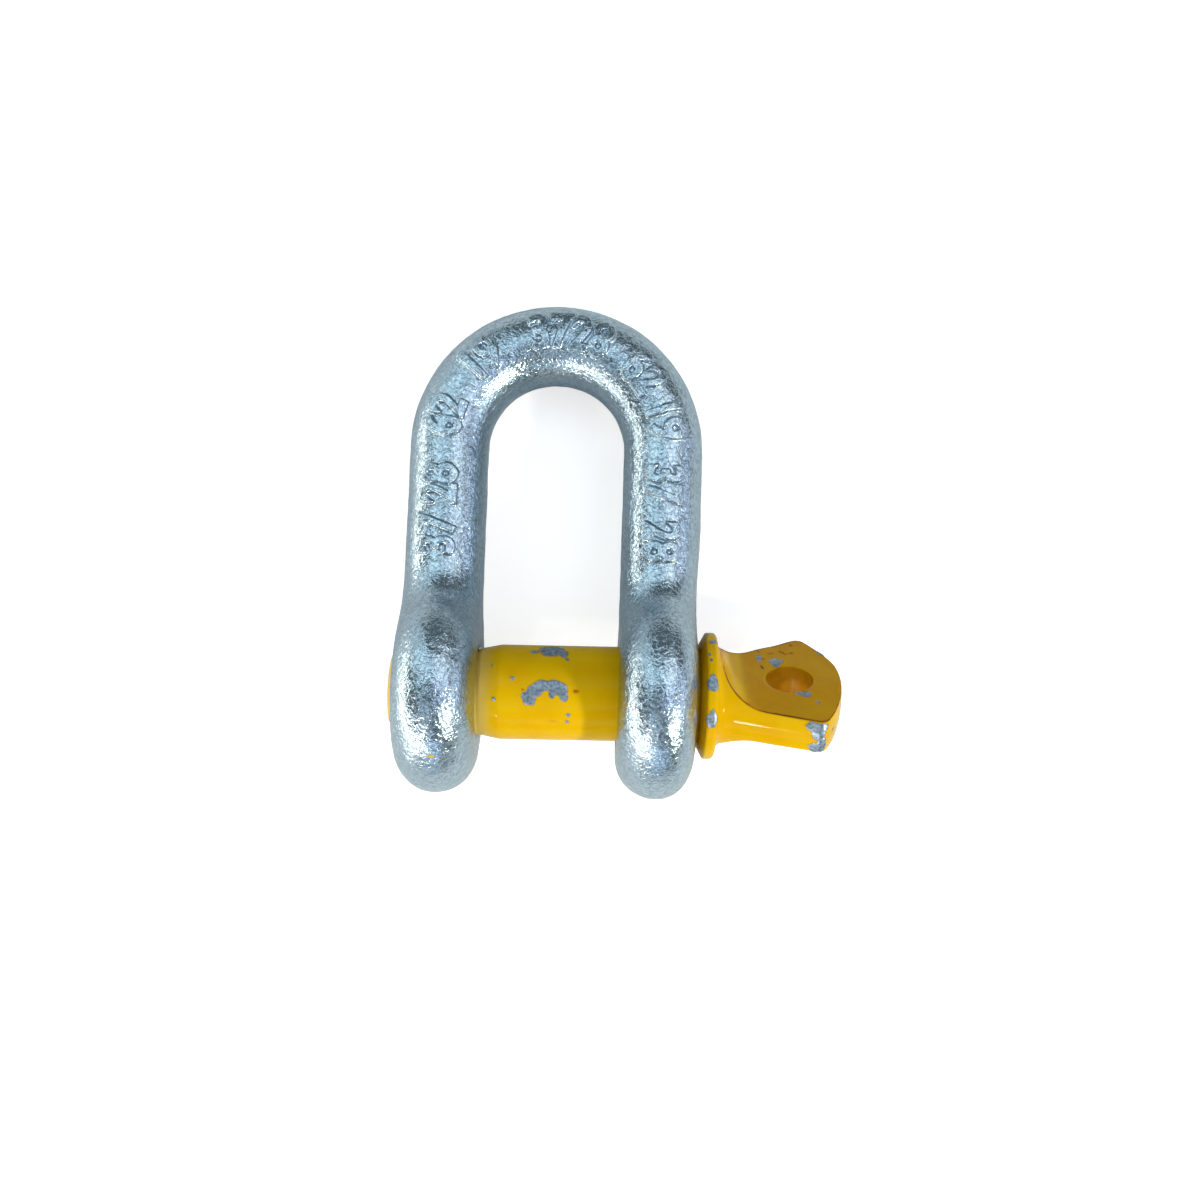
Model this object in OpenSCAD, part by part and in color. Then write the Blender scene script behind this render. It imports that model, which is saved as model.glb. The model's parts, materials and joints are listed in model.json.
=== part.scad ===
// Screw pin dee shackle for joining two lengths of chain. All sizes are millimetres.
// The pin runs along X with its eye at +X, and the origin is on the pin's axis, midway across the jaw.
// Z is up, and the shackle lies as it comes to rest, on the rims of its two ears and on its crown.

/* [Bow] */
// Thickness of the forged bar, measured across the bow's front
bar_d = 11; // [9:0.5:13]
// Width of the flat that trimming the flash leaves along the inside and outside of the bar
land_w = 0.5; // [0.2:0.1:1]
// Clear width between the two ears
jaw_w = 19; // [16:0.5:26]
// Clear length from the pin to the inside of the crown
inside_len = 37; // [32:0.5:50]
// Diameter over the round rim of each ear
ear_d = 28.5; // [25:0.5:32]
// Chamfer around both ends of the two bores
bore_chamfer = 0.8; // [0.2:0.1:1]

/* [Pin] */
// Diameter of the plain shank
pin_d = 13; // [10:0.5:14]
// Diameter over the threaded end
thread_d = 12; // [8:0.5:13]
// Free length of the thinner end inside the jaw, from the threaded ear to the foot of the taper
relief_len = 0.5; // [0.2:0.1:2]
// Length of the taper between the shank and the threaded end
taper_len = 2.5; // [1:0.1:4]
// How far the threaded end stands out of its ear
thread_out = 1.1; // [0.5:0.1:4]
// Chamfer on the tip of the threaded end
tip_chamfer = 1; // [0.4:0.1:1.5]
// Play around the threaded end in its ear, on the radius
thread_play = 0.1; // [0.05:0.01:0.3]
// Play around the shank in the plain ear, on the radius
shank_play = 0.5; // [0.2:0.05:1]
// Gap left between the collar and the plain ear, with the pin screwed home by hand
collar_gap = 0.1; // [0.05:0.05:2]

/* [Head] */
// Diameter of the collar
collar_d = 17.4; // [15:0.2:22]
// Thickness of the collar
collar_t = 2.3; // [1.5:0.1:4]
// How far the collar's rim stands back from its face towards the ear
collar_bevel = 0.85; // [0.4:0.05:0.9]
// Width of the flat ring left on that face around the shank
collar_seat = 0.6; // [0.2:0.1:1]
// Rounding of the collar's edge towards the head
collar_round = 0.6; // [0.3:0.1:0.7]
// Fillet between the collar and the neck behind it
collar_fillet = 1.2; // [0.5:0.1:2]
// Length from the collar to the end of the head
head_len = 17.4; // [14:0.1:24]
// Length of round neck before the head spreads
neck_len = 1.8; // [1:0.1:4]
// Width across the two corners of the flattened head
head_w = 20.6; // [18:0.2:28]
// Radius of the rounded end of the head
end_r = 17.5; // [14:0.5:30]
// Thickness between the two flats
flat_t = 5.6; // [4:0.1:7]
// Radius of the hollow where each flat runs out into the neck
runout_r = 5; // [3:0.1:6]
// Distance from the collar to the start of that hollow
runout_gap = 0.5; // [0.3:0.1:2]
// Diameter of the eye for the lanyard or bar
eye_d = 6.5; // [4:0.1:8]
// Distance from the eye's centre to the end of the head
eye_end = 7.2; // [6:0.1:10]
// Turn of the flats about the pin, from lying level
head_turn = -65; // [-180:1:180]

/* [Hidden] */
$fn = 96;
through = 100;

bar_r = bar_d / 2;
section_r = bar_r + land_w / 2;
ear_r = ear_d / 2;
rim_r = ear_r - bar_r;
leg_x = jaw_w / 2 + bar_r;
crown_y = pin_d / 2 + inside_len - jaw_w / 2;
outer_x = jaw_w / 2 + bar_d;

// The hollow of the neck is tangent to the leg and to the ear. Its centre lies on the line
// that rises 3 for every 4 from the ear's centre, which settles its radius.
neck_r = (3 * ear_r - 5 * section_r) / 2;
neck_y = 0.8 * (ear_r + neck_r);
neck_z = 0.6 * (ear_r + neck_r);

// The bow leans until the bottom of the crown is as low as the ears
rest_tilt = asin((ear_r - section_r) / (crown_y + leg_x));

pin_r = pin_d / 2;
thread_r = thread_d / 2;
tip_x = -outer_x - thread_out;
taper_x = -jaw_w / 2 + relief_len;
collar_x = outer_x + collar_gap;
collar_r = collar_d / 2;
back_x = collar_x + collar_t;
spread_x = back_x + neck_len;
end_x = back_x + head_len;
corner_x = end_x - end_r + sqrt(end_r ^ 2 - (head_w / 2) ^ 2);
eye_x = end_x - eye_end;

// Lays a shape that was drawn around Z, with the leg along X, onto the pin's axis
module on_pin_axis() {
    rotate([90, 0, 90])
        children();
}

// Cross-section of the bar, a circle parted by the narrow land
module bar_section() {
    for (side = [-1, 1])
        translate([0, side * land_w / 2])
            circle(bar_r);
    square([bar_d, land_w], center = true);
}

// Wedge from the ear's centre to the centres of the two neck hollows
module neck_wedge(reach) {
    polygon(reach * [[0, 0], [neck_y, neck_z], [neck_y, -neck_z]]);
}

// Disc with a fully round rim, open where the neck joins it
module ear_disc() {
    difference() {
        rotate_extrude() {
            translate([0, -bar_r])
                square([rim_r, bar_d]);
            translate([rim_r, 0])
                intersection() {
                    circle(bar_r);
                    translate([0, -bar_r])
                        square([bar_r, bar_d]);
                }
        }
        linear_extrude(height = 2 * bar_d, center = true)
            neck_wedge(2);
    }
}

// Piece between the ear and the leg, hollowed on both sides by a round-edged cut
module neck() {
    hollow_r = neck_r + bar_r;
    difference() {
        linear_extrude(height = bar_d, center = true)
            neck_wedge(1);
        for (side = [-1, 1])
            translate([neck_y, side * neck_z, 0])
                rotate_extrude()
                    difference() {
                        translate([0, -bar_d])
                            square([hollow_r, 2 * bar_d]);
                        translate([hollow_r, 0])
                            circle(bar_r);
                    }
    }
}

module leg_with_ear() {
    on_pin_axis() {
        ear_disc();
        neck();
    }
    translate([0, crown_y, 0])
        rotate([90, 0, 0])
            linear_extrude(height = crown_y - neck_y)
                bar_section();
}

// Bore along the pin's axis with a chamfer at both faces of an ear
module ear_bore(radius) {
    on_pin_axis()
        rotate_extrude()
            polygon([
                [0, -bar_r],
                [radius + bore_chamfer, -bar_r],
                [radius, -bar_r + bore_chamfer],
                [radius, bar_r - bore_chamfer],
                [radius + bore_chamfer, bar_r],
                [0, bar_r]
            ]);
}

module bow() {
    color("lightsteelblue")
        rotate([-rest_tilt, 0, 0])
            difference() {
                union() {
                    for (side = [-1, 1])
                        translate([side * leg_x, 0, 0])
                            leg_with_ear();
                    translate([0, crown_y, 0])
                        rotate_extrude(angle = 180)
                            translate([leg_x, 0])
                                bar_section();
                }
                translate([-leg_x, 0, 0])
                    ear_bore(thread_r + thread_play);
                translate([leg_x, 0, 0])
                    ear_bore(pin_r + shank_play);
            }
}

// Half outline of the turned pin, from the threaded tip to the back of the collar
module pin_outline() {
    polygon([
        [0, tip_x],
        [thread_r - tip_chamfer, tip_x],
        [thread_r, tip_x + tip_chamfer],
        [thread_r, taper_x],
        [pin_r, taper_x + taper_len],
        [pin_r, collar_x + collar_t / 2],
        [0, collar_x + collar_t / 2]
    ]);
    polygon([
        [0, collar_x],
        [pin_r + collar_seat, collar_x],
        [collar_r, collar_x + collar_bevel],
        [collar_r, back_x - collar_round],
        [collar_r - collar_round, back_x],
        [0, back_x]
    ]);
    translate([collar_r - collar_round, back_x - collar_round])
        circle(collar_round);
}

// Half outline of the neck and the spreading head, with its rounded end
module head_outline() {
    intersection() {
        polygon([
            [0, back_x - collar_t / 2],
            [pin_r, back_x - collar_t / 2],
            [pin_r, spread_x],
            [head_w / 2, corner_x],
            [head_w / 2, end_x],
            [0, end_x]
        ]);
        translate([0, end_x - end_r])
            circle(end_r);
    }
    translate([pin_r, back_x])
        difference() {
            translate([-collar_fillet / 2, -collar_t / 2])
                square([1.5 * collar_fillet, collar_t / 2 + collar_fillet]);
            translate([collar_fillet, collar_fillet])
                circle(collar_fillet);
        }
}

// What is pressed away above one flat, with a rounded corner towards the neck
module flat_cut() {
    rotate([90, 0, 0])
        linear_extrude(height = through, center = true)
            translate([back_x + runout_gap, flat_t / 2]) {
                translate([runout_r, 0])
                    square([head_len, head_w]);
                translate([0, runout_r])
                    square([head_len, head_w]);
                translate([runout_r, runout_r])
                    circle(runout_r);
            }
}

module screw_pin() {
    color("gold")
        rotate([head_turn, 0, 0])
            difference() {
                on_pin_axis()
                    rotate_extrude() {
                        pin_outline();
                        head_outline();
                    }
                for (side = [0, 1])
                    mirror([0, 0, side])
                        flat_cut();
                translate([eye_x, 0, 0])
                    cylinder(h = through, d = eye_d, center = true);
            }
}

bow();
screw_pin();
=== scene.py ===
"""Looks of the screw pin dee shackle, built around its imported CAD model."""

import json
import math
from contextlib import contextmanager

import bmesh
import bpy
import numpy as np
from mathutils import Euler, Matrix, Vector
from mathutils.bvhtree import BVHTree


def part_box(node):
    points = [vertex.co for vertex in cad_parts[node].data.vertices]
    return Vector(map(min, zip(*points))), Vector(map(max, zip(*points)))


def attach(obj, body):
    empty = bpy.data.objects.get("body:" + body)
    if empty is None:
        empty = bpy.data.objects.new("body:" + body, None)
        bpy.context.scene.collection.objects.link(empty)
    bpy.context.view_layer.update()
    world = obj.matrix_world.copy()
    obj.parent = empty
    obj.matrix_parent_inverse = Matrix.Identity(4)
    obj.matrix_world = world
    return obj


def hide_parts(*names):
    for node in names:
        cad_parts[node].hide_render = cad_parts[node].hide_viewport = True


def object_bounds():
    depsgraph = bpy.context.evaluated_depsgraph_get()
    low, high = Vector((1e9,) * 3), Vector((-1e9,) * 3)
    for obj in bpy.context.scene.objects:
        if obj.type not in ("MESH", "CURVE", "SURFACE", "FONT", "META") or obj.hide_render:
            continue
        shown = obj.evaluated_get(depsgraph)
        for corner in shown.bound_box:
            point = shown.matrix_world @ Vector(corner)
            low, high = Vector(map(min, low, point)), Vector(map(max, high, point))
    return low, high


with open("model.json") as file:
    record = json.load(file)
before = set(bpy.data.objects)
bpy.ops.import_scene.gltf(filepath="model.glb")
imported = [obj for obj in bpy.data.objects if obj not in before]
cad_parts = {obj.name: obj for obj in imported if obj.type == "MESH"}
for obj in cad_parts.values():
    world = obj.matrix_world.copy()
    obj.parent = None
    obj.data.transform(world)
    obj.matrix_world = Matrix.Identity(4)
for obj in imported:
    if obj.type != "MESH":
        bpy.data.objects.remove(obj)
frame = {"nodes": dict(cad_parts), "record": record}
cad_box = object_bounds()

# Camera. The shackle is looked at from almost straight above and close by, with its crown pointing up
# in the picture and its pin level. The picture is square.
MM = 0.001
camera_distance = 190 * MM
looked_at = Vector((6.75, 12.93, 0)) * MM
camera_angles = (-3.341, -0.265, 1.903)


def add_object(name, data):
    """Links a mesh, curve, lamp or camera into the scene as an object at the origin."""
    made = bpy.data.objects.new(name, data)
    bpy.context.scene.collection.objects.link(made)
    return made


camera_data = bpy.data.cameras.new("camera")
camera_data.sensor_width = 36
camera_data.lens = 41.44
camera_data.clip_start = 1 * MM
camera_turn = Euler([math.radians(angle) for angle in camera_angles])
camera = add_object("camera", camera_data)
camera.rotation_euler = camera_turn
camera.location = looked_at + camera_turn.to_matrix() @ Vector((0, 0, camera_distance))
bpy.context.scene.camera = camera

# Studio. A wide white table in a dim room. Bright screens on the left and cool ones in front, on the right
# and behind the crown give the zinc something to mirror. One small lamp on the right throws the shadows,
# and two at the front left put glints on the ears and on the pin's neck.
bpy.context.scene.view_settings.view_transform = "Standard"
table_half = 2.0
table_z = cad_box[0][2]
lamp_distance = 0.6
lamp_aim = Vector((0, 15 * MM, 0))


def feed(tree, socket, value):
    """Sets a node's input, or links it where the value is another node's output."""
    if isinstance(value, bpy.types.NodeSocket):
        tree.links.new(value, socket)
    else:
        socket.default_value = value


def add_node(tree, kind, inputs=None, **settings):
    """Adds a node with its settings and with its inputs, by name or by place."""
    made = tree.nodes.new(kind)
    for name, value in settings.items():
        setattr(made, name, value)
    for key, value in (inputs or {}).items():
        feed(tree, made.inputs[key], value)
    return made


def new_material(name):
    """A material with its tree and with the shader that feeds its output."""
    material = bpy.data.materials.new(name)
    material.use_nodes = True
    tree = material.node_tree
    tree.nodes.clear()
    shader = tree.nodes.new("ShaderNodeBsdfPrincipled")
    output = tree.nodes.new("ShaderNodeOutputMaterial")
    tree.links.new(shader.outputs[0], output.inputs[0])
    return material, tree, shader


table_mesh = bpy.data.meshes.new("table")
table_corners = [(x * table_half, y * table_half, table_z) for x, y in ((-1, -1), (1, -1), (1, 1), (-1, 1))]
table_mesh.from_pydata(table_corners, [], [(0, 1, 2, 3)])
table_material, tree, shader = new_material("white_table")
feed(tree, shader.inputs["Base Color"], (0.7, 0.7, 0.7, 1))
feed(tree, shader.inputs["Roughness"], 0.8)
feed(tree, shader.inputs["Specular IOR Level"], 0.1)
glow = add_node(tree, "ShaderNodeEmission", {"Color": (1.0, 0.96, 0.93, 1), "Strength": 0.66}).outputs[0]
lit = add_node(tree, "ShaderNodeAddShader", {0: shader.outputs[0], 1: glow}).outputs[0]
seen = tree.nodes.new("ShaderNodeLightPath").outputs["Is Camera Ray"]
pale = add_node(tree, "ShaderNodeMixShader", {0: seen, 1: shader.outputs[0], 2: lit}).outputs[0]
tree.links.new(pale, tree.nodes["Material Output"].inputs[0])
table_mesh.materials.append(table_material)
table = add_object("table", table_mesh)


def add_lamp(name, azimuth, elevation, width, height, brightness, colour):
    """An oblong lamp that faces the shackle, its azimuth counted from the pin's head towards the crown."""
    data = bpy.data.lights.new(name, "AREA")
    data.shape = "RECTANGLE"
    data.size = width
    data.size_y = height
    data.energy = math.pi * width * height * brightness
    data.color = colour
    level = math.cos(math.radians(elevation))
    away = Vector((level * math.cos(math.radians(azimuth)), level * math.sin(math.radians(azimuth)),
                   math.sin(math.radians(elevation))))
    lamp = add_object(name, data)
    lamp.location = away * lamp_distance + lamp_aim
    lamp.rotation_euler = away.to_track_quat("Z", "Y").to_euler()
    lamp.visible_camera = False


add_lamp("key_lamp", -31, 35.5, 0.04, 0.048, 360, (0.95, 1.0, 0.85))
add_lamp("front_left_lamp", 238, 31, 0.03, 0.03, 110, (1.0, 0.97, 0.88))
add_lamp("front_lamp", 248, 31, 0.02, 0.02, 380, (1.0, 0.97, 0.88))
add_lamp("left_low_screen", 180, 7, 0.47, 0.14, 5.0, (1.0, 1.0, 0.90))
add_lamp("left_front_screen", 218, 16, 0.46, 0.20, 4.2, (1.0, 1.0, 0.96))
add_lamp("front_screen", 272, 22, 0.44, 0.20, 1.7, (0.62, 0.80, 1.0))
add_lamp("front_top_screen", 240, 62, 0.40, 0.26, 1.0, (0.70, 0.86, 1.0))
add_lamp("right_screen", 0, 20, 0.44, 0.18, 2.1, (0.70, 0.80, 1.0))
add_lamp("right_top_screen", 0, 62, 0.24, 0.26, 1.6, (0.60, 0.70, 1.0))
add_lamp("right_back_screen", 45, 50, 0.34, 0.42, 1.65, (0.87, 0.95, 1.0))
add_lamp("back_screen", 90, 60, 0.26, 0.30, 0.75, (0.55, 0.82, 1.0))
add_lamp("back_low_screen", 83, 20, 0.30, 0.16, 0.12, (0.75, 0.93, 1.0))
add_lamp("left_back_screen", 135, 48, 0.36, 0.44, 1.6, (0.72, 0.92, 1.0))
add_lamp("left_back_low_screen", 138, 12, 0.46, 0.20, 1.0, (0.75, 0.93, 1.0))

room = bpy.data.worlds.new("room")
room.use_nodes = True
tree = room.node_tree
tree.nodes.clear()
dim_walls = add_node(tree, "ShaderNodeBackground", {"Color": (0.7, 0.9, 1.0, 1), "Strength": 0.10})
pale_walls = add_node(tree, "ShaderNodeBackground", {"Color": (0.95, 0.96, 0.97, 1), "Strength": 1.0})
seen = tree.nodes.new("ShaderNodeLightPath").outputs["Is Camera Ray"]
walls = add_node(tree, "ShaderNodeMixShader", {0: seen, 1: dim_walls.outputs[0], 2: pale_walls.outputs[0]})
tree.links.new(walls.outputs[0], tree.nodes.new("ShaderNodeOutputWorld").inputs[0])
bpy.context.scene.world = room

# Bow. A bar drop forged from steel, with a round ear at each end, bent to a dee and hot dip galvanised.
# Plain raised numerals from the die run along its front, and one ear is tapped for the pin.
leg_x = 15 * MM
crown_y = 34 * MM
bow_grain = 0.41 * MM
weld_distance = 0.5e-6
crown_pull = Vector(next(m for m in frame["record"]["mounts"] if m["name"] == "bow_crown")["axis"])
bow_lean = math.atan2(-crown_pull.z, crown_pull.y)
zinc_dull = (0.34, 0.405, 0.455, 1)
zinc_bright = (0.55, 0.655, 0.73, 1)
cloud_share = 0.4
crystal_share = 0.3
ripple_share = 0.8
speck_place = (-14.57, -7.36, 12.0)
speck_stretch = (1.9, 4.5, 0.6)
speck_yellow = (0.60, 0.36, 0.01, 1)


def calc(tree, operation, *terms):
    """Adds a Math node and gives its result."""
    return add_node(tree, "ShaderNodeMath", dict(enumerate(terms)), operation=operation).outputs[0]


def vector_calc(tree, operation, *terms):
    """Adds a Vector Math node and gives its result, a number for a length or a dot product."""
    made = add_node(tree, "ShaderNodeVectorMath", dict(enumerate(terms)), operation=operation)
    return made.outputs["Value" if operation in ("LENGTH", "DOT_PRODUCT") else "Vector"]


def ramp(tree, value, start, end, low, high):
    """Goes smoothly from low to high while the value goes from start to end."""
    inputs = {"Value": value, "From Min": start, "From Max": end, "To Min": low, "To Max": high}
    return add_node(tree, "ShaderNodeMapRange", inputs, interpolation_type="SMOOTHSTEP").outputs[0]


def blend(tree, share, first, second):
    """Mixes two colours: all of the first at a share of zero, and all of the second at one."""
    return add_node(tree, "ShaderNodeMix", {0: share, 6: first, 7: second}, data_type="RGBA").outputs[2]


def noise(tree, place, scale, detail, **more):
    """Adds a noise texture and gives its value."""
    inputs = {"Vector": place, "Scale": scale, "Detail": detail, **more}
    return add_node(tree, "ShaderNodeTexNoise", inputs).outputs[0]


def place_in_mm(tree):
    """The place of each point of the piece, in millimetres."""
    place = add_node(tree, "ShaderNodeTexCoord").outputs["Object"]
    return add_node(tree, "ShaderNodeMapping", {"Vector": place, "Scale": [1 / MM] * 3}).outputs[0]


# Zinc is cloudy, with fine crystals and pits, and a small yellow speck that is not metal lies on the left ear
zinc, tree, shader = new_material("galvanised_zinc")
place_mm = place_in_mm(tree)
clouds = noise(tree, place_mm, 0.22, 4.0)
crystals = add_node(tree, "ShaderNodeTexVoronoi", {"Vector": place_mm, "Scale": 4.5}).outputs["Color"]
crystal_tone = add_node(tree, "ShaderNodeSeparateColor", {0: crystals}).outputs[0]
tone = calc(tree, "MULTIPLY_ADD", crystal_tone, crystal_share, calc(tree, "MULTIPLY", clouds, cloud_share))
pits = noise(tree, place_mm, 1.8, 2.0, Roughness=0.65, Distortion=0.6)
tone = calc(tree, "ADD", tone, ramp(tree, pits, 0.3, 0.7, -0.2, 0.5))
off_speck = vector_calc(tree, "SUBTRACT", place_mm, speck_place)
off_speck = vector_calc(tree, "MULTIPLY", off_speck, speck_stretch)
speck = ramp(tree, vector_calc(tree, "LENGTH", off_speck), 0.8, 1.1, 1.0, 0.0)
ripples = noise(tree, place_mm, 0.55, 2.0)
skin = calc(tree, "MULTIPLY_ADD", ripples, ripple_share, pits)
skin_bump = add_node(tree, "ShaderNodeBump", {"Height": skin, "Strength": 0.9, "Distance": 0.14 * MM})
zinc_skin = blend(tree, speck, blend(tree, tone, zinc_dull, zinc_bright), speck_yellow)
feed(tree, shader.inputs["Base Color"], zinc_skin)
feed(tree, shader.inputs["Metallic"], calc(tree, "SUBTRACT", 1.0, speck))
feed(tree, shader.inputs["Roughness"], ramp(tree, tone, 0.2, 0.8, 0.27, 0.20))
feed(tree, shader.inputs["Normal"], skin_bump.outputs[0])


def plain_mesh(obj):
    """The evaluated object as a mesh of its own, without modifiers."""
    graph = bpy.context.evaluated_depsgraph_get()
    return bpy.data.meshes.new_from_object(obj.evaluated_get(graph), depsgraph=graph)


def drop(obj):
    """Deletes an object that was only needed on the way."""
    bpy.data.objects.remove(obj)


@contextmanager
def editing(mesh):
    """Opens a mesh for editing and writes it back."""
    edited = bmesh.new()
    edited.from_mesh(mesh)
    yield edited
    edited.to_mesh(mesh)
    edited.free()


# The CAD mesh of the bow is evened out to small squares, which can take the marks of forging
bow_mesh = frame["nodes"]["bow"].data.copy()
with editing(bow_mesh) as edited:
    bmesh.ops.remove_doubles(edited, verts=edited.verts, dist=weld_distance)
blank = add_object("bow_blank", bow_mesh)
even = blank.modifiers.new("even", "REMESH")
even.mode = "VOXEL"
even.voxel_size = bow_grain
bow_mesh = plain_mesh(blank)
drop(blank)

# The numerals are laid out flat, along the bar from the left ear over the crown to the right ear. Each group
# has its place along the bar and out from its middle. They give the shackle's own sizes, as whole
# millimetres: 37 inside, 28 over the ear, 62 along the pin and 19 across the jaw.
numeral_groups = [
    ("37 28", -33.5, 0.5), ("62", -20.5, 0.4), ("19", -11.5, 0.4), ("3728", 1.5, 0.3),
    ("62 19", 16.5, 0.2), ("37", 29.0, -0.2), ("28", 37.0, -0.4),
]
numeral_height = 4.7 * MM
numeral_squeeze = 0.86
stroke_swell = 0.16 * MM
numeral_band = 3.4 * MM
numeral_reach = 44 * MM
font_digit_height = 0.73
numeral_mesh = bpy.data.meshes.new("numerals")
with editing(numeral_mesh) as edited:
    for digits, along, out in numeral_groups:
        lettering = bpy.data.curves.new("numerals", "FONT")
        lettering.body = digits
        lettering.align_x = "CENTER"
        lettering.align_y = "CENTER"
        lettering.size = numeral_height / font_digit_height
        lettering.offset = stroke_swell
        writing = add_object("numerals", lettering)
        group_mesh = plain_mesh(writing)
        drop(writing)
        group_place = Matrix.Translation((along * MM, out * MM, 0))
        group_mesh.transform(group_place @ Matrix.Diagonal((numeral_squeeze, 1, 1, 1)))
        edited.from_mesh(group_mesh)
numerals = add_object("numerals_flat", numeral_mesh)


def along_bar(points):
    """Each point's place on the unrolled front of the bar: along it from the crown, out from its middle
    line, and up, where anything that doesn't face the front is far away."""
    upright = points @ np.array(Matrix.Rotation(bow_lean, 3, "X")).T
    x, y, z = upright.T
    beyond = y - crown_y
    quarter = leg_x * math.pi / 2
    in_crown = beyond > 0
    along = np.where(in_crown, leg_x * np.arctan2(x, beyond), np.sign(x) * (quarter - beyond))
    out = np.where(in_crown, np.hypot(x, beyond), np.abs(x)) - leg_x
    return np.stack([along, out, np.where(z > 0, 0.0, 1.0)], axis=1)


def read_points(mesh):
    """The places of a mesh's vertices as an array."""
    flat = np.empty(len(mesh.vertices) * 3, np.float32)
    mesh.vertices.foreach_get("co", flat)
    return flat.reshape(-1, 3).astype(float)


# The squares near the numerals are halved twice, so that the strokes come out clearly
stroke_reaches = (0.8 * MM, 0.4 * MM)
stroke_shape = BVHTree.FromObject(numerals, bpy.context.evaluated_depsgraph_get())
for stroke_reach in stroke_reaches:
    unrolled = along_bar(read_points(bow_mesh))
    along, out, behind = unrolled.T
    near = (np.abs(along) < numeral_reach) & (np.abs(out) < numeral_band) & (behind == 0)
    for index in np.flatnonzero(near):
        near[index] = stroke_shape.find_nearest(unrolled[index])[3] < stroke_reach
    with editing(bow_mesh) as edited:
        to_halve = [edge for edge in edited.edges if all(near[end.index] for end in edge.verts)]
        bmesh.ops.subdivide_edges(edited, edges=to_halve, cuts=1, use_grid_fill=True)
unrolled_place = bow_mesh.attributes.new("unrolled", "FLOAT_VECTOR", "POINT")
unrolled_place.data.foreach_set("vector", along_bar(read_points(bow_mesh)).astype(np.float32).ravel())


def new_tree(name, sizes):
    """A Geometry Nodes tree with inputs for its sizes and its finish, and its input and output nodes."""
    tree = bpy.data.node_groups.new(name, "GeometryNodeTree")
    tree.interface.new_socket("Geometry", in_out="OUTPUT", socket_type="NodeSocketGeometry")
    for size, kind in {"Geometry": "Geometry", **sizes, "Finish": "Material"}.items():
        tree.interface.new_socket(size, in_out="INPUT", socket_type="NodeSocket" + kind)
    return tree, tree.nodes.new("NodeGroupInput").outputs, tree.nodes.new("NodeGroupOutput").inputs[0]


def end_tree(tree, shape, finish, result):
    """Ends a tree: its shape is made real, gets its finish and goes out."""
    whole = add_node(tree, "GeometryNodeRealizeInstances", {"Geometry": shape}).outputs[0]
    finished = add_node(tree, "GeometryNodeSetMaterial", {"Geometry": whole, "Material": finish})
    tree.links.new(finished.outputs[0], result)


def run_tree(obj, tree, values):
    """Gives the mesh that a tree makes from an object with these input values, and drops the object."""
    modifier = obj.modifiers.new(tree.name, "NODES")
    modifier.node_group = tree
    for item in tree.interface.items_tree:
        if item.in_out == "INPUT" and item.name in values:
            modifier[item.identifier] = values[item.name]
    mesh = plain_mesh(obj)
    drop(obj)
    return mesh


def unevenness(tree, place, size, depth):
    """A smooth random height, zero on average."""
    waves = noise(tree, place, calc(tree, "DIVIDE", 1.0, size), 2.0)
    return calc(tree, "MULTIPLY", calc(tree, "SUBTRACT", waves, 0.5), depth)


def across_thread(tree, x, turn, pitch):
    """How far from the middle of a thread's turn a point lies, up to one at its ends."""
    phase = calc(tree, "FRACT", calc(tree, "SUBTRACT", calc(tree, "DIVIDE", x, pitch), turn))
    return calc(tree, "ABSOLUTE", calc(tree, "MULTIPLY_ADD", phase, 2.0, -1.0))


def along_vector(tree, vector, amount):
    """Adds a node that scales a vector by an amount."""
    return add_node(tree, "ShaderNodeVectorMath", {0: vector, "Scale": amount}, operation="SCALE").outputs[0]


def named_value(tree, name, kind="FLOAT"):
    """The attribute of this name, which the mesh carries."""
    return add_node(tree, "GeometryNodeInputNamedAttribute", {"Name": name}, data_type=kind).outputs[0]


# Forging raises the numerals and leaves the skin uneven, tapping cuts the thread in the left ear's bore,
# and the right ear's outer face is set in a little
bore_blend = 1 * MM
bore_catch = 0.25 * MM
tapped_profile = (0.2, 0.9)
set_in_x = (17 * MM, 20.4 * MM)
set_in_y = (12 * MM, 24 * MM)
tree, given, result = new_tree("forged_and_tapped", {
    "Numerals": "Object", "Relief": "Float", "Relief edge": "Float", "Hammer depth": "Float",
    "Hammer size": "Float", "Skin depth": "Float", "Skin size": "Float", "Bore reach": "Float",
    "Thread radius": "Float", "Thread pitch": "Float", "Thread depth": "Float", "Right ear set-in": "Float"})
point = tree.nodes.new("GeometryNodeInputPosition").outputs[0]
facing = tree.nodes.new("GeometryNodeInputNormal").outputs[0]
x, y, z = add_node(tree, "ShaderNodeSeparateXYZ", {0: point}).outputs
from_axis = calc(tree, "SQRT", calc(tree, "MULTIPLY_ADD", y, y, calc(tree, "MULTIPLY", z, z)))
strokes = add_node(tree, "GeometryNodeObjectInfo", {"Object": given["Numerals"]}).outputs["Geometry"]
nearest = add_node(tree, "GeometryNodeProximity", {0: strokes}, target_element="FACES")
feed(tree, nearest.inputs["Sample Position"], named_value(tree, "unrolled", "FLOAT_VECTOR"))
raised = ramp(tree, nearest.outputs["Distance"], 0.0, given["Relief edge"], given["Relief"], 0.0)
hammered = calc(tree, "ADD", unevenness(tree, point, given["Hammer size"], given["Hammer depth"]),
                unevenness(tree, point, given["Skin size"], given["Skin depth"]))
bore_end = calc(tree, "ADD", given["Bore reach"], bore_blend)
outside = ramp(tree, from_axis, given["Bore reach"], bore_end, 0.0, 1.0)
forged = calc(tree, "ADD", raised, calc(tree, "MULTIPLY", hammered, outside))
turn = calc(tree, "DIVIDE", calc(tree, "ARCTAN2", z, y), 2 * math.pi)
from_crest = across_thread(tree, x, turn, given["Thread pitch"])
groove = ramp(tree, from_crest, *tapped_profile, 0.0, given["Thread depth"])
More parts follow.
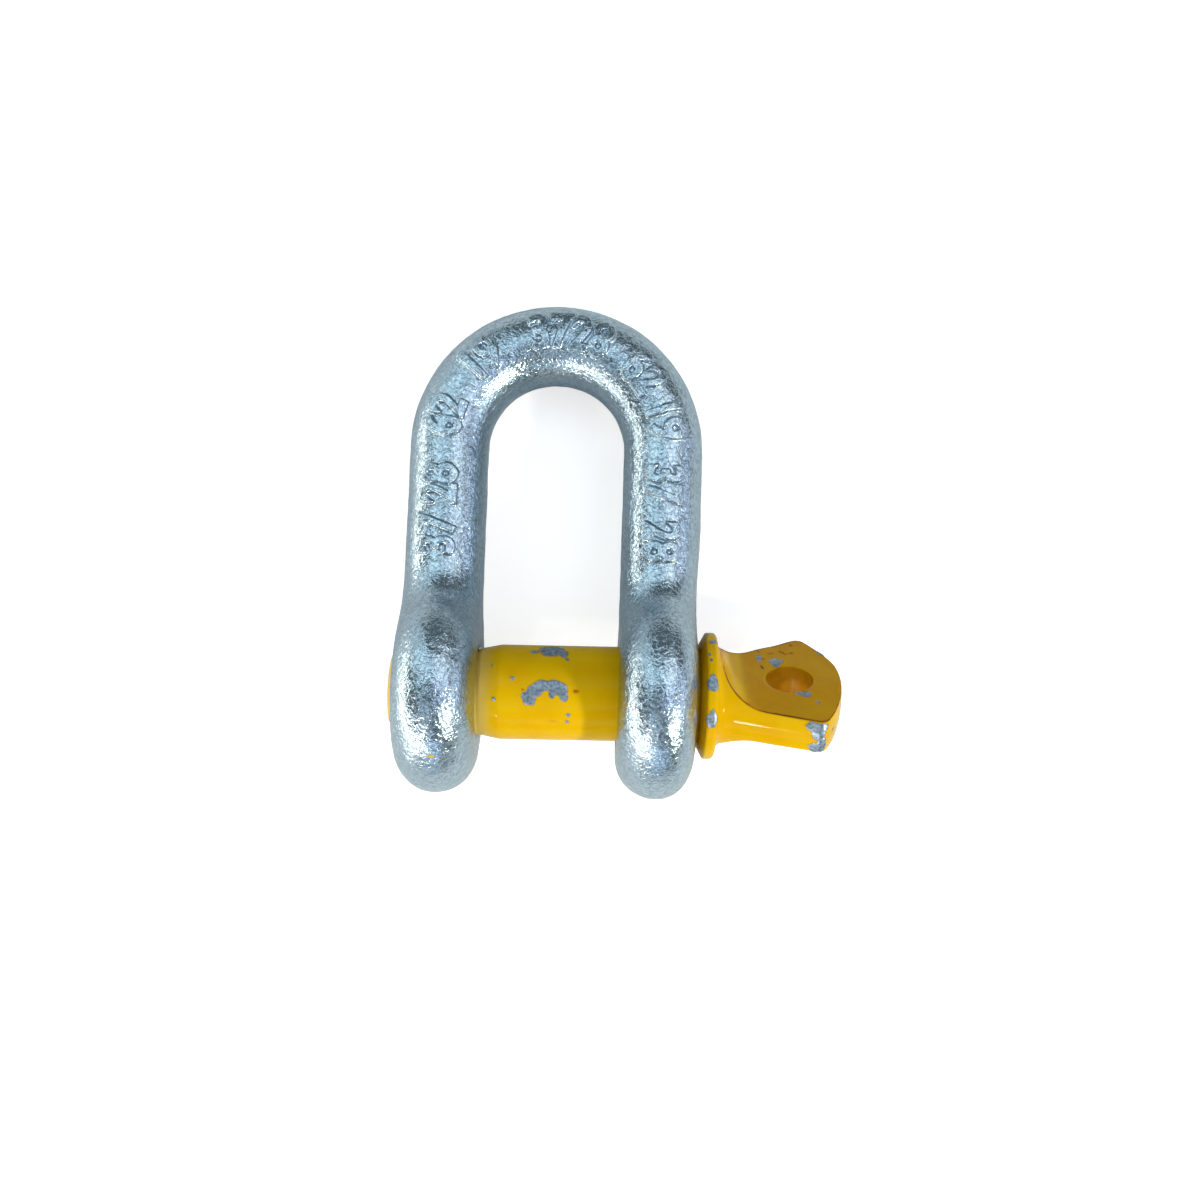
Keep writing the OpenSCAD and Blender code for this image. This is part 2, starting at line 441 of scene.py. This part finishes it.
in_bore = calc(tree, "LESS_THAN", from_axis, calc(tree, "ADD", given["Thread radius"], bore_catch))
tapped = calc(tree, "MULTIPLY", calc(tree, "MULTIPLY", in_bore, calc(tree, "LESS_THAN", x, 0.0)), groove)
outward = vector_calc(tree, "NORMALIZE", add_node(tree, "ShaderNodeCombineXYZ", {1: y, 2: z}).outputs[0])
moved = vector_calc(tree, "ADD", along_vector(tree, facing, forged), along_vector(tree, outward, tapped))
on_right_face = calc(tree, "MULTIPLY", ramp(tree, x, *set_in_x, 0.0, 1.0), ramp(tree, y, *set_in_y, 1.0, 0.0))
set_in = calc(tree, "MULTIPLY", calc(tree, "MULTIPLY", on_right_face, given["Right ear set-in"]), -1.0)
moved = vector_calc(tree, "ADD", moved, add_node(tree, "ShaderNodeCombineXYZ", {0: set_in}).outputs[0])
shaped = add_node(tree, "GeometryNodeSetPosition", {"Geometry": given["Geometry"], "Offset": moved})
smooth = add_node(tree, "GeometryNodeSetShadeSmooth", {"Geometry": shaped.outputs[0]})
end_tree(tree, smooth.outputs[0], given["Finish"], result)

thread_pitch = 1.75 * MM
bow_mesh = run_tree(add_object("bow_forging", bow_mesh), tree, {
    "Numerals": numerals, "Relief": 0.6 * MM, "Relief edge": 0.26 * MM, "Hammer depth": 0.2 * MM,
    "Hammer size": 7 * MM, "Skin depth": 0.12 * MM, "Skin size": 1.3 * MM, "Bore reach": 7.8 * MM,
    "Thread radius": 6.1 * MM, "Thread pitch": thread_pitch, "Thread depth": 0.8 * MM,
    "Right ear set-in": 0.4 * MM, "Finish": zinc})
drop(numerals)
bow_mesh.attributes.remove(bow_mesh.attributes["unrolled"])
bow = add_object("galvanised_bow", bow_mesh)
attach(bow, "bow")
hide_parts("bow")

# Screw pin. One forging, turned and threaded at its tip, with a collar and a flattened head that has
# an eye. It is galvanised and painted yellow, and use has chipped the paint to the zinc.
head_turn = math.radians(25)
flat_normal = Vector((0, math.cos(head_turn), math.sin(head_turn)))
flat_across = Vector((0, -math.sin(head_turn), math.cos(head_turn)))
flat_half = 2.8 * MM
eye_x = 33.1 * MM
eye_radius = 3.25 * MM
tip_x, head_end_x = (corner.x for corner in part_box("screw_pin"))
tip_chamfer = 1 * MM
taper_x = -9.0 * MM
taper_end_x = -6.5 * MM
shank_radius = 6.5 * MM
thread_radius = 6.0 * MM
collar_radius = 8.7 * MM
collar_x = 20.6 * MM
rim_x = 21.45 * MM
seat_radius = 7.1 * MM
collar_back_x = 22.9 * MM
spread_x = 24.7 * MM
head_radius = 10.3 * MM
head_corner_x = 36.95 * MM
end_radius = 17.5 * MM
yellow_deep = (0.70, 0.32, 0.001, 1)
yellow_bright = (0.82, 0.50, 0.002, 1)
pale_dust_and_light = (0.82, 0.56, 0.16, 1)
pale_end_mm = (-9.3, -7.0)
soil_and_shade = (0.46, 0.11, 0.005, 1)
crack_and_shade_brown = (0.13, 0.05, 0.008, 1)
zinc_dark = (0.15, 0.19, 0.25, 1)
zinc_pale = (0.40, 0.45, 0.51, 1)
fray_depth = 0.3
torn_soil = 0.55
bare_shine = 0.8
dull_roughness = 0.45
peel_share = 0.35

# Paint lies in a thin glossy film over the zinc. Attributes of the mesh say where it is bare, and where it is
# dirty and where painted shade darkens it.
paint, tree, shader = new_material("chipped_yellow_paint")
place_mm = place_in_mm(tree)
fray = noise(tree, place_mm, 2.6, 4.0)
clouds = noise(tree, place_mm, 0.18, 5.0)
smudges = noise(tree, place_mm, 0.7, 5.0)
orange_peel = noise(tree, place_mm, 0.9, 2.0)
x_mm = add_node(tree, "ShaderNodeSeparateXYZ", {0: place_mm}).outputs[0]
chip_depth = add_node(tree, "ShaderNodeAttribute", attribute_name="bare").outputs["Fac"]
frayed = calc(tree, "MULTIPLY_ADD", calc(tree, "SUBTRACT", fray, 0.5), fray_depth, chip_depth)
bare = ramp(tree, frayed, -0.02, 0.02, 0.0, 1.0)
painted = calc(tree, "SUBTRACT", 1.0, bare)
torn_edge = calc(tree, "MULTIPLY", ramp(tree, frayed, -0.14, -0.02, 0.0, 1.0), painted)
smudged = ramp(tree, smudges, 0.35, 0.65, 0.85, 1.0)
# The end of the shank by the left ear turns pale: it is dusty, and painted light lifts the shade that the
# left ear casts there.
end_dust_and_light = calc(tree, "MULTIPLY", ramp(tree, x_mm, *pale_end_mm, 0.7, 0.0), smudged)
yellow = blend(tree, end_dust_and_light, blend(tree, clouds, yellow_deep, yellow_bright), pale_dust_and_light)
# The paint is darkened to brown by real stains, creases and torn chip edges, and by painted shade on the
# flats, the collar's face by the ear and the eye's wall.
grime = add_node(tree, "ShaderNodeAttribute", attribute_name="grime").outputs["Fac"]
grime = calc(tree, "MULTIPLY", grime, smudged)
grime = calc(tree, "MAXIMUM", grime, calc(tree, "MULTIPLY", torn_edge, torn_soil))
cracks_and_shade = ramp(tree, grime, 0.5, 0.9, 0.0, 1.0)
soiled_and_shaded = blend(tree, cracks_and_shade, blend(tree, grime, yellow, soil_and_shade), crack_and_shade_brown)
zinc_patch = blend(tree, ramp(tree, fray, 0.3, 0.7, 0.0, 1.0), zinc_dark, zinc_pale)
gloss = ramp(tree, clouds, 0.3, 0.7, 0.08, 0.16)
dull = calc(tree, "MULTIPLY", calc(tree, "MAXIMUM", bare, grime), dull_roughness)
film = calc(tree, "MULTIPLY_ADD", bare, -1.0, calc(tree, "MULTIPLY", orange_peel, peel_share))
film_bump = add_node(tree, "ShaderNodeBump", {"Height": film, "Strength": 0.4, "Distance": 0.1 * MM})
feed(tree, shader.inputs["Base Color"], blend(tree, bare, soiled_and_shaded, zinc_patch))
feed(tree, shader.inputs["Specular IOR Level"], 0.06)
feed(tree, shader.inputs["Metallic"], calc(tree, "MULTIPLY", bare, bare_shine))
feed(tree, shader.inputs["Roughness"], calc(tree, "MAXIMUM", gloss, dull))
feed(tree, shader.inputs["Normal"], film_bump.outputs[0])

# Half outline of the pin from its tip to the end of its head, each corner with its rounding
corners = [
    (tip_x, 0, 0),
    (tip_x, thread_radius - tip_chamfer, 0.25 * MM),
    (tip_x + tip_chamfer, thread_radius, 0.3 * MM),
    (taper_x, thread_radius, 1.0 * MM),
    (taper_end_x, shank_radius, 1.2 * MM),
    (collar_x, shank_radius, 0.2 * MM),
    (collar_x, seat_radius, 0.1 * MM),
    (rim_x, collar_radius, 0.2 * MM),
    (collar_back_x, collar_radius, 0.6 * MM),
    (collar_back_x, shank_radius, 1.2 * MM),
    (spread_x, shank_radius, 4.0 * MM),
    (head_corner_x, head_radius, 1.2 * MM),
]
end_centre_x = head_end_x - end_radius
corner_angle = math.asin(head_radius / end_radius)
end_steps = 12
for step in range(1, end_steps + 1):
    angle = corner_angle * (1 - step / end_steps)
    corners.append((end_centre_x + end_radius * math.cos(angle), end_radius * math.sin(angle), 0))
outline = bpy.data.curves.new("pin_outline", "CURVE")
outline.dimensions = "3D"
spline = outline.splines.new("POLY")
spline.points.add(len(corners) - 1)
for spot, (x, radius, rounding) in zip(spline.points, corners):
    spot.co = (x, radius, 0, 1)
    spot.radius = rounding


def store_value(tree, shape, name, value):
    """Adds a node that writes a value to the mesh as an attribute of this name."""
    inputs = {0: shape, "Name": name, "Value": value}
    stored = add_node(tree, "GeometryNodeStoreNamedAttribute", inputs, data_type="FLOAT", domain="POINT")
    return stored.outputs[0]


# A grid is wrapped around the outline. It is cut by the thread and pressed flat on two sides of the head,
# where each flat runs out into the neck in a hollow and sinks a touch around the eye.
arc_steps = 8
cut_profile = (0.1, 0.8)
thread_fade = 1.5 * MM
tip_face = (2 * MM, 4.5 * MM)
run_out_wall = 8.0
least_cosine = 0.001
crease_width = 0.5 * MM
seam_gap = 0.002 * MM
tree, given, result = new_tree("turned_and_flattened", {
    "Rows": "Int", "Columns": "Int", "Thread pitch": "Float", "Thread depth": "Float", "Thread end": "Float",
    "Flat half": "Float", "Run-out start": "Float", "Run-out radius": "Float", "Edge rounding": "Float",
    "Eye place": "Float", "Eye radius": "Float", "Eye rounding": "Float", "Head turn": "Float"})
rounding = tree.nodes.new("GeometryNodeInputRadius").outputs[0]
rounded = add_node(tree, "GeometryNodeFilletCurve",
                   {"Curve": given["Geometry"], "Count": arc_steps, "Radius": rounding}, mode="POLY")
grid = add_node(tree, "GeometryNodeMeshGrid", {"Vertices X": given["Rows"], "Vertices Y": given["Columns"]})
share_along, share_around, _ = add_node(tree, "ShaderNodeSeparateXYZ", {0: grid.outputs["UV Map"]}).outputs
on_outline = add_node(tree, "GeometryNodeSampleCurve", {0: rounded.outputs[0], "Factor": share_along},
                      mode="FACTOR", use_all_curves=True)
x, radius, _ = add_node(tree, "ShaderNodeSeparateXYZ", {0: on_outline.outputs["Position"]}).outputs
from_root = across_thread(tree, x, share_around, given["Thread pitch"])
groove = ramp(tree, from_root, *cut_profile, given["Thread depth"], 0.0)
fade_start = calc(tree, "SUBTRACT", given["Thread end"], thread_fade)
threaded = ramp(tree, x, fade_start, given["Thread end"], 1.0, 0.0)
off_tip = ramp(tree, radius, *tip_face, 0.0, 1.0)
cut = calc(tree, "MULTIPLY", calc(tree, "MULTIPLY", groove, threaded), off_tip)
turned = calc(tree, "SUBTRACT", radius, cut)
run_out = given["Run-out radius"]
to_flat = calc(tree, "SUBTRACT", calc(tree, "ADD", given["Run-out start"], run_out), x)
to_flat = calc(tree, "MAXIMUM", calc(tree, "MINIMUM", to_flat, run_out), 0.0)
less = calc(tree, "MULTIPLY", calc(tree, "MULTIPLY", to_flat, to_flat), -1.0)
hollow = calc(tree, "SQRT", calc(tree, "MULTIPLY_ADD", run_out, run_out, less))
before = calc(tree, "MAXIMUM", calc(tree, "SUBTRACT", given["Run-out start"], x), 0.0)
half = calc(tree, "SUBTRACT", calc(tree, "ADD", given["Flat half"], run_out), hollow)
half = calc(tree, "MULTIPLY_ADD", before, run_out_wall, half)
around = calc(tree, "MULTIPLY", share_around, 2 * math.pi)
towards_flat = calc(tree, "MULTIPLY", calc(tree, "COSINE", around), calc(tree, "MINIMUM", half, radius))
towards_side = calc(tree, "MULTIPLY", calc(tree, "SINE", around), radius)
angle = calc(tree, "ARCTAN2", towards_side, towards_flat)
steepness = calc(tree, "MAXIMUM", calc(tree, "ABSOLUTE", calc(tree, "COSINE", angle)), least_cosine)
flat_reach = calc(tree, "DIVIDE", half, steepness)
reach = calc(tree, "SMOOTH_MIN", turned, flat_reach, given["Edge rounding"])
height = calc(tree, "MULTIPLY", reach, calc(tree, "COSINE", angle))
across = calc(tree, "MULTIPLY", reach, calc(tree, "SINE", angle))
off_eye_x = calc(tree, "SUBTRACT", x, given["Eye place"])
off_eye = calc(tree, "MULTIPLY_ADD", off_eye_x, off_eye_x, calc(tree, "MULTIPLY", across, across))
off_eye = calc(tree, "SQRT", off_eye)
rim_end = calc(tree, "MULTIPLY_ADD", given["Eye rounding"], 2.0, given["Eye radius"])
sunk = ramp(tree, off_eye, given["Eye radius"], rim_end, given["Eye rounding"], 0.0)
height = calc(tree, "SUBTRACT", height, calc(tree, "MULTIPLY", sunk, calc(tree, "SIGN", height)))
cosine = calc(tree, "COSINE", given["Head turn"])
sine = calc(tree, "SINE", given["Head turn"])
y = calc(tree, "SUBTRACT", calc(tree, "MULTIPLY", height, cosine), calc(tree, "MULTIPLY", across, sine))
z = calc(tree, "MULTIPLY_ADD", height, sine, calc(tree, "MULTIPLY", across, cosine))
spot = add_node(tree, "ShaderNodeCombineXYZ", {0: x, 1: y, 2: z}).outputs[0]
wrapped = add_node(tree, "GeometryNodeSetPosition", {"Geometry": grid.outputs[0], "Position": spot})
ridge = calc(tree, "ABSOLUTE", calc(tree, "SUBTRACT", turned, flat_reach))
on_head = calc(tree, "GREATER_THAN", x, given["Run-out start"])
crease = calc(tree, "MULTIPLY", ramp(tree, ridge, 0.0, crease_width, 1.0, 0.0), on_head)
creased = store_value(tree, wrapped.outputs[0], "crease", crease)
closed = add_node(tree, "GeometryNodeMergeByDistance", {0: creased, "Distance": seam_gap}).outputs[0]
smooth = add_node(tree, "GeometryNodeSetShadeSmooth", {"Geometry": closed})
end_tree(tree, smooth.outputs[0], given["Finish"], result)

pin_mesh = run_tree(add_object("pin_outline", outline), tree, {
    "Rows": 360, "Columns": 225, "Thread pitch": thread_pitch, "Thread depth": 0.9 * MM,
    "Thread end": taper_x, "Flat half": flat_half, "Run-out start": 23.4 * MM, "Run-out radius": 5.0 * MM,
    "Edge rounding": 0.35 * MM, "Eye place": eye_x, "Eye radius": eye_radius, "Eye rounding": 0.15 * MM,
    "Head turn": head_turn, "Finish": paint})

# Paint chips. A row says how far along the pin a chip lies, at which angle about the pin from level, half
# its length, half its width and its turn, in millimetres and degrees. Instead of the angle, a row has the
# distance across the flat for a chip on the flat, and the height above the middle for one at its corner.
shank_chips = [
    (0.4, 22, 1.8, 1.4, 0), (-1.9, 26, 0.7, 0.35, 0), (2.1, 29, 0.6, 0.8, 0), (2.6, 40, 0.3, 0.3, 0),
    (-2.35, 90, 0.9, 1.1, 20), (-1.6, 81, 1.1, 0.8, 0), (-0.5, 75, 1.3, 0.75, 0), (1.0, 75, 1.4, 0.75, 0),
    (2.0, 80, 0.9, 1.0, 0), (2.3, 87, 0.6, 0.7, 0), (0.7, 85, 0.45, 0.6, 0),
    (-4.6, 67, 0.32, 0.3, 0), (3.0, 110, 0.38, 0.3, 0), (2.8, 119, 0.3, 0.25, 0),
    (-7.4, 50, 0.07, 0.5, 10), (-7.0, 92, 0.3, 0.35, 0), (-3.9, 88, 0.1, 0.1, 0),
]
collar_chips = [
    (22.0, 72, 0.70, 1.15, 0), (22.0, 104, 0.70, 1.25, 0), (22.2, 27, 0.55, 0.5, 0),
    (21.6, 12, 0.25, 0.5, 0), (21.8, 50, 0.2, 0.3, 0), (21.6, 44, 0.2, 0.35, 0),
]
flat_chips = [
    (29.4, -5.2, 0.35, 0.8, 0), (31.7, -4.4, 1.0, 0.75, 0), (31.6, -3.7, 0.6, 0.7, 0),
    (33.9, 3.5, 0.5, 0.45, 0), (35.0, 3.9, 0.8, 0.55, 20), (36.4, 5.6, 0.3, 0.35, 0),
    (38.6, -6.3, 0.2, 0.8, 30), (24.6, -5.6, 0.5, 0.25, 0),
]
corner_chips = [
    (35.2, 1.8, 0.9, 0.8, 0), (36.4, 1.8, 1.0, 0.9, 0), (36.1, 0.4, 0.9, 1.1, 0),
    (35.9, -1.9, 0.9, 0.8, 0), (36.6, -1.4, 0.6, 1.2, 0), (38.4, 0.0, 0.4, 1.0, 0),
]
# Brown cracks and scuffs in the paint, given like the chips
shank_stains = [
    (3.9, 81, 0.4, 0.25, 0), (0.9, 119, 0.8, 0.08, 0), (-3.2, 80, 0.2, 0.15, 0),
]
flat_stains = [
    (29.3, -7.2, 0.8, 0.2, -66), (29.9, -5.1, 0.35, 0.25, 0), (29.6, -3.1, 0.7, 0.2, -73),
    (31.1, -6.3, 0.6, 0.2, 19), (33.0, -6.6, 0.5, 0.2, -20), (33.7, -6.1, 0.5, 0.2, -5),
    (34.5, -6.3, 0.5, 0.2, 20), (35.4, -8.2, 0.5, 0.2, -10), (34.4, 3.0, 0.9, 0.2, -12),
]
mark_depth = 2.0 * MM
corner_across = 10 * MM
unmarked = -1.0


def add_mark(reached, points, centre, facing, half_length, half_width, turn):
    """Raises each point's value to its depth in an oval mark: one at the centre and zero at the edge."""
    sideways = np.cross(facing, (1, 0, 0))
    offset = points - np.array(centre)
    along, across, away = offset[:, 0], offset @ sideways, offset @ np.array(facing)
    cosine, sine = math.cos(math.radians(turn)), math.sin(math.radians(turn))
    length = (along * cosine + across * sine) / (half_length * MM)
    width = (across * cosine - along * sine) / (half_width * MM)
    inside = 1 - np.sqrt(length ** 2 + width ** 2 + (away / mark_depth) ** 2)
    np.maximum(reached, inside, out=reached)


points = read_points(pin_mesh)
chipped = np.full(len(points), unmarked)
stained = np.full(len(points), unmarked)
for marks, radius, reached in ((shank_chips, shank_radius, chipped),
                               (collar_chips, collar_radius, chipped),
                               (shank_stains, shank_radius, stained)):
    for x, angle, *oval in marks:
        facing = (0, math.cos(math.radians(angle)), math.sin(math.radians(angle)))
        add_mark(reached, points, (x * MM, facing[1] * radius, facing[2] * radius), facing, *oval)
for marks, reached in ((flat_chips, chipped), (flat_stains, stained)):
    for x, across, *oval in marks:
        centre = Vector((x * MM, 0, 0)) + flat_normal * flat_half + flat_across * across * MM
        add_mark(reached, points, centre, flat_normal, *oval)
for x, height, *oval in corner_chips:
    centre = Vector((x * MM, 0, 0)) + flat_normal * height * MM + flat_across * corner_across
    add_mark(chipped, points, centre, flat_across, *oval)
for name, values in (("chip", chipped), ("stain", stained)):
    written = pin_mesh.attributes.new(name, "FLOAT", "POINT")
    written.data.foreach_set("value", values.astype(np.float32))

# The chips get ragged edges and lie a paint film's depth down. The flats are darkened as painted shade, the
# collar's face towards the ear is dirty and darkened as painted shade, and dirty brown fills the creases of
# the head and the stains.
level_facing = (0.9, 0.98)
flat_shade = 0.45
seat_dirt_and_shade = 0.45
seat_half = 0.6 * MM
stain_dirt = 0.85
tree, given, result = new_tree("paint_film", {
    "Film": "Float", "Ragged size": "Float", "Ragged reach": "Float", "Dirty and shaded seat": "Float",
    "Flats from": "Float", "Flat facing": "Vector"})
point = tree.nodes.new("GeometryNodeInputPosition").outputs[0]
facing = tree.nodes.new("GeometryNodeInputNormal").outputs[0]
x = add_node(tree, "ShaderNodeSeparateXYZ", {0: point}).outputs[0]
waves = noise(tree, point, calc(tree, "DIVIDE", 1.0, given["Ragged size"]), 3.0)
swing = calc(tree, "SUBTRACT", waves, 0.5)
ragged = calc(tree, "MULTIPLY_ADD", swing, given["Ragged reach"], named_value(tree, "chip"))
stain = calc(tree, "MULTIPLY_ADD", swing, given["Ragged reach"], named_value(tree, "stain"))
level = calc(tree, "ABSOLUTE", vector_calc(tree, "DOT_PRODUCT", facing, given["Flat facing"]))
on_head = calc(tree, "GREATER_THAN", x, given["Flats from"])
# The flats of the head are darkened as painted shade, chosen by which way they face.
dirt_and_shade = calc(tree, "MULTIPLY", ramp(tree, level, *level_facing, 0.0, flat_shade), on_head)
# The collar's face towards the ear is darkened: it is dirty, and painted shade is added where the ear shades
# it.
off_seat = calc(tree, "ABSOLUTE", calc(tree, "SUBTRACT", x, given["Dirty and shaded seat"]))
at_seat = calc(tree, "LESS_THAN", off_seat, seat_half)
dirt_and_shade = calc(tree, "MAXIMUM", dirt_and_shade, calc(tree, "MULTIPLY", at_seat, seat_dirt_and_shade))
dirt_and_shade = calc(tree, "MAXIMUM", dirt_and_shade, named_value(tree, "crease"))
dirt_and_shade = calc(tree, "MAXIMUM", dirt_and_shade, ramp(tree, stain, -0.5, 0.3, 0.0, stain_dirt))
kept = store_value(tree, given["Geometry"], "bare", ragged)
kept = store_value(tree, kept, "grime", dirt_and_shade)
sunk = ramp(tree, ragged, -0.08, 0.08, 0.0, calc(tree, "MULTIPLY", given["Film"], -1.0))
worn = add_node(tree, "GeometryNodeSetPosition",
                {"Geometry": kept, "Offset": along_vector(tree, facing, sunk)}).outputs[0]
end_tree(tree, worn, given["Finish"], result)
pin_mesh = run_tree(add_object("pin_blank", pin_mesh), tree, {
    "Film": 0.1 * MM, "Ragged size": 0.9 * MM, "Ragged reach": 0.9, "Dirty and shaded seat": 20.8 * MM,
    "Flats from": 24 * MM, "Flat facing": flat_normal, "Finish": paint})

# The eye is drilled through the flats
drill_length = 20 * MM
drill_sides = 96
drill_place = Matrix.Translation((eye_x, 0, 0)) @ flat_normal.to_track_quat("Z", "Y").to_matrix().to_4x4()
drill_mesh = bpy.data.meshes.new("eye_drill")
with editing(drill_mesh) as edited:
    bmesh.ops.create_cone(edited, cap_ends=True, segments=drill_sides, radius1=eye_radius, radius2=eye_radius,
                          depth=drill_length, matrix=drill_place)
drill_mesh.materials.append(paint)
drill = add_object("eye_drill", drill_mesh)
solid_pin = add_object("solid_pin", pin_mesh)
eye = solid_pin.modifiers.new("eye", "BOOLEAN")
eye.operation = "DIFFERENCE"
eye.solver = "EXACT"
eye.object = drill
pin_mesh = plain_mesh(solid_pin)
drop(solid_pin)
drop(drill)
with editing(pin_mesh) as edited:
    bmesh.ops.recalc_face_normals(edited, faces=edited.faces)

# The paint on the eye's wall is whole, and is darkened to brown as painted shade inside the hole
eye_wall_shade = 0.60
wall_reach = 0.02 * MM
points = read_points(pin_mesh)
across = points @ np.array(flat_across)
on_wall = np.hypot(points[:, 0] - eye_x, across) < eye_radius + wall_reach
for name, wall_value in (("bare", unmarked), ("grime", eye_wall_shade)):
    written = pin_mesh.attributes[name].data
    values = np.empty(len(points), np.float32)
    written.foreach_get("value", values)
    written.foreach_set("value", np.where(on_wall, wall_value, values).astype(np.float32))


def eased(values, start, end):
    """Goes smoothly from zero to one while the values go from start to end."""
    share = np.clip((values - start) / (end - start), 0, 1)
    return share * share * (3 - 2 * share)


# The forging is uneven: one corner of the head is drawn back and out, and the flat sinks towards the other.
# A pair says where such a change starts and where it is complete.
corner_back = 1.4 * MM
corner_out = 0.9 * MM
flat_sink = 0.85 * MM
far_side = eased(-across, 3 * MM, 10 * MM)
near_side = eased(across, 1 * MM, 10 * MM)
back_x = (31 * MM, 36.5 * MM)
out_x = (24 * MM, 30 * MM)
sink_x = (24.5 * MM, 29.5 * MM)
above = np.clip(points @ np.array(flat_normal) / flat_half, 0, 1)
drawn = far_side * eased(points[:, 0], *back_x)
widened = far_side * eased(points[:, 0], *out_x)
sunk = near_side * eased(points[:, 0], *sink_x) * above
points[:, 0] -= corner_back * drawn
points -= np.outer(corner_out * widened, flat_across)
points -= np.outer(flat_sink * sunk, flat_normal)

# The pin leans a little in its play, with its head towards the crown, and the head is forged out of line
pin_lean = math.radians(0.72)
lean_x = 7.1 * MM
head_bend = math.radians(1.65)
bend_x = 26.4 * MM
sharp_edge = math.radians(50)
points[:, 1] += math.tan(pin_lean) * (points[:, 0] - lean_x)
points[:, 1] += math.tan(head_bend) * np.maximum(points[:, 0] - bend_x, 0)
pin_mesh.vertices.foreach_set("co", points.astype(np.float32).ravel())
pin_mesh.shade_smooth()
pin_mesh.set_sharp_from_angle(angle=sharp_edge)
pin = add_object("painted_screw_pin", pin_mesh)
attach(pin, "pin")
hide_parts("screw_pin")
